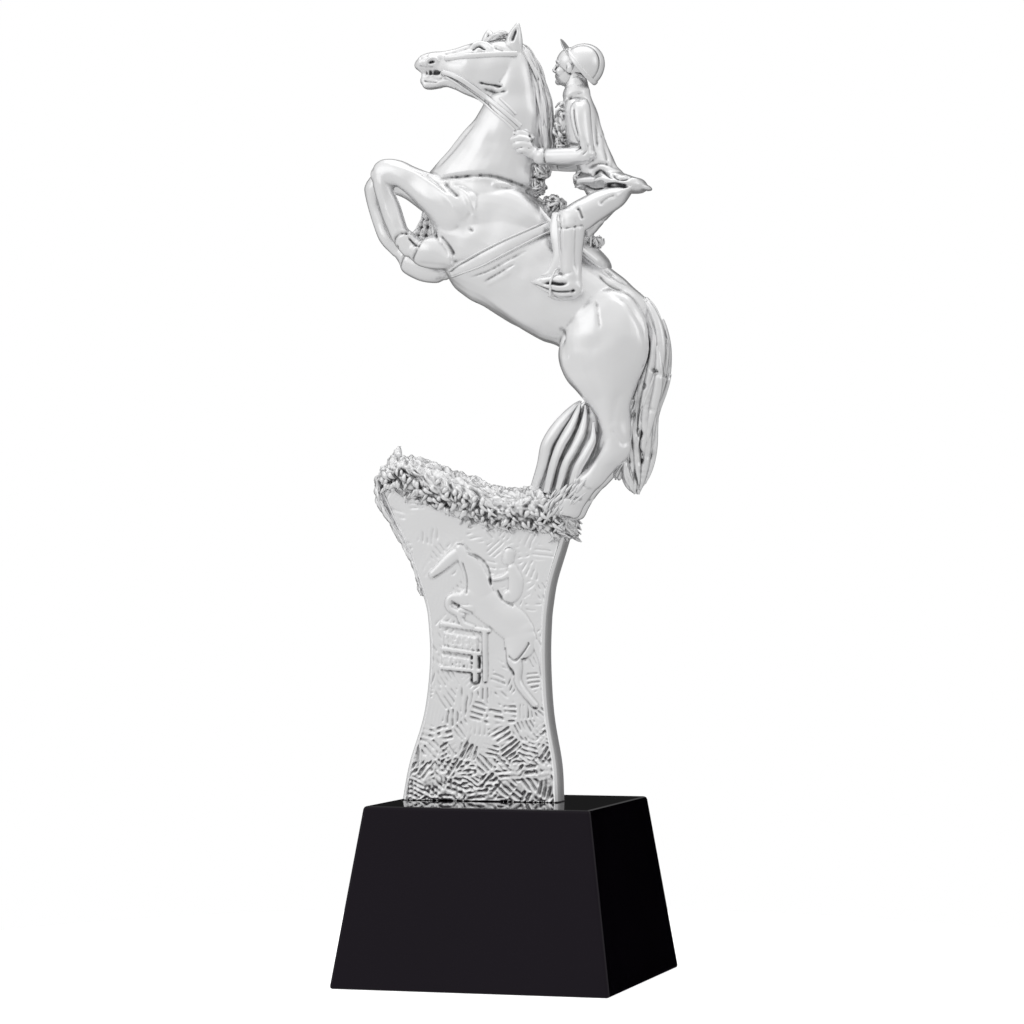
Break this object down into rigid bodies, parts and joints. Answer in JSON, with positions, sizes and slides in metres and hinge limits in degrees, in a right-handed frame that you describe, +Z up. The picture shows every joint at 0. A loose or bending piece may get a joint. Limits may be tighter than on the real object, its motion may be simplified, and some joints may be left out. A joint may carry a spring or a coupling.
{
  "type": "horse trophy",
  "caption": "Show jumping trophy: a silver casting of a rearing horse and rider on a hatched slab with a rock crest, standing on a black tapered plinth.",
  "frame": {"origin": "centre of the plinth's underside", "axes": "+Z up; the slab's front face with the relief looks to -Y; the horse faces -X"},
  "size_m": [0.1338, 0.1146, 0.3898],
  "materials": {
    "black_crystal": "opaque black crystal, polished on every face",
    "silver": "bright silver plate, softly polished, darker in the hatching and between the rocks"
  },
  "bodies": {
    "root": {"plinth": "black_crystal", "horse_casting": "silver"}
  },
  "joints": []
}
